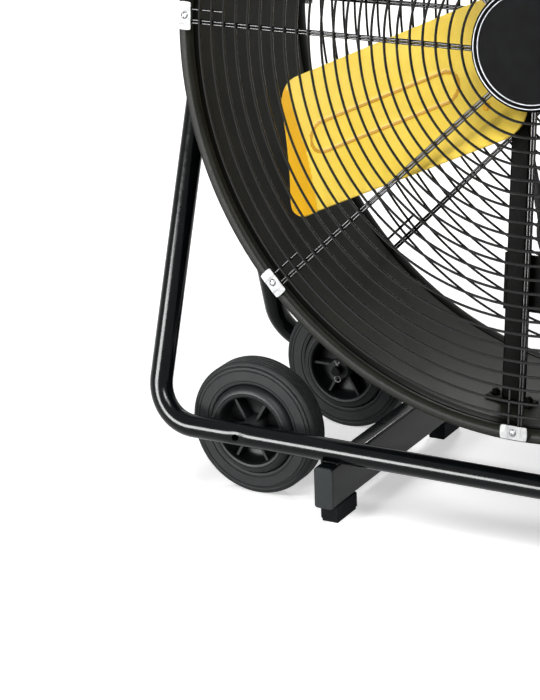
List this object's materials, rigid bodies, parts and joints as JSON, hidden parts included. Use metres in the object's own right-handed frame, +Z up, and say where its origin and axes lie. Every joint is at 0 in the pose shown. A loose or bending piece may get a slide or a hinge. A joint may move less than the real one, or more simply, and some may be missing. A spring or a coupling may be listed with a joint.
{
  "type": "drum fan",
  "caption": "Belt-driven portable drum fan with yellow paddle blades and wire guards, tilting in a tube stand with wheels and feet.",
  "frame": {"origin": "on the floor, under the drum's tilt axis, midway between the two tilt pivots", "axes": "+Z up; -Y is the front, where the air leaves; +X is to the right for someone who faces the front, and the wheels are on the -X side"},
  "size_m": [1.1106, 0.4254, 1.1408],
  "materials": {
    "tube_paint": "gloss black powder coat",
    "drum_paint": "semi-gloss black powder coat",
    "wire_paint": "semi-gloss black powder coat on wire",
    "blade_paint": "satin yellow paint",
    "zinc": "bright zinc plate",
    "steel": "turned steel",
    "iron": "painted iron",
    "tyre": "matt black rubber",
    "foot_rubber": "matt black rubber",
    "cap_plastic": "dark grey moulded plastic",
    "black_plastic": "matt black moulded plastic",
    "badge_plastic": "satin black disc with bright rings",
    "belt_rubber": "black rubber belt"
  },
  "bodies": {
    "stand": {"hoop_front": "tube_paint", "hoop_rear": "tube_paint", "crossbar_left": "tube_paint", "crossbar_right": "tube_paint", "bar_cap_front_left": "cap_plastic", "bar_cap_front_right": "cap_plastic", "bar_cap_rear_left": "cap_plastic", "bar_cap_rear_right": "cap_plastic", "foot_front_left": "foot_rubber", "foot_front_right": "foot_rubber", "foot_rear_left": "foot_rubber", "foot_rear_right": "foot_rubber", "axle_front": "tube_paint", "axle_rear": "tube_paint", "cotter_front": "zinc", "cotter_rear": "zinc"},
    "drum": {"drum_shell": "drum_paint", "guard_front": "wire_paint", "guard_rear": "wire_paint", "clip_front_1": "zinc", "clip_front_2": "zinc", "clip_front_3": "zinc", "clip_front_4": "zinc", "clip_front_5": "zinc", "clip_front_6": "zinc", "clip_front_7": "zinc", "clip_front_8": "zinc", "clip_rear_1": "zinc", "clip_rear_2": "zinc", "clip_rear_3": "zinc", "clip_rear_4": "zinc", "badge": "badge_plastic", "pivot_bracket_left": "drum_paint", "pivot_bracket_right": "drum_paint", "pivot_bolt_left": "zinc", "pivot_bolt_right": "zinc", "post_left": "drum_paint", "post_right": "drum_paint", "bearing_plate_front": "drum_paint", "bearing_plate_rear": "drum_paint", "bearing_front": "iron", "bearing_rear": "iron", "motor_plate": "drum_paint", "motor": "iron", "drive_belt": "belt_rubber", "switch_box": "black_plastic", "cord_gland": "black_plastic"},
    "rotor": {"fan_shaft": "steel", "hub": "iron", "blade_1": "blade_paint", "blade_2": "blade_paint", "blade_3": "blade_paint", "driven_pulley": "iron"},
    "motor_rotor": {"motor_shaft": "steel", "drive_pulley": "iron"},
    "wheel_front": {"tyre_front": "tyre", "rim_front": "black_plastic"},
    "wheel_rear": {"tyre_rear": "tyre", "rim_rear": "black_plastic"},
    "knob": {"switch_knob": "black_plastic"}
  },
  "joints": [
    {"name": "drum_tilt", "type": "hinge", "parent": "stand", "child": "drum", "pos_m": [0, 0, 0.638], "axis": [-1, 0, 0], "range_deg": [-35, 85]},
    {"name": "fan_spin", "type": "hinge", "parent": "drum", "child": "rotor", "pos_m": [0, 0, 0.638], "axis": [0, 0.9956, -0.0941], "continuous": true},
    {"name": "motor_spin", "type": "hinge", "parent": "drum", "child": "motor_rotor", "pos_m": [0, -0.02484, 0.37517], "axis": [0, 0.9956, -0.0941], "continuous": true},
    {"name": "wheel_front_spin", "type": "hinge", "parent": "stand", "child": "wheel_front", "pos_m": [-0.411, -0.126, 0.0932], "axis": [0, 1, 0], "continuous": true},
    {"name": "wheel_rear_spin", "type": "hinge", "parent": "stand", "child": "wheel_rear", "pos_m": [-0.411, 0.14, 0.0932], "axis": [0, 1, 0], "continuous": true},
    {"name": "switch_turn", "type": "hinge", "parent": "drum", "child": "knob", "pos_m": [0.33939, 0.11771, 1.03315], "axis": [0.6428, 0.0721, 0.7626], "range_deg": [0, 90]}
  ],
  "couplings": [
    {"joint": "motor_spin", "follows": "fan_spin", "ratio": 2.895}
  ]
}
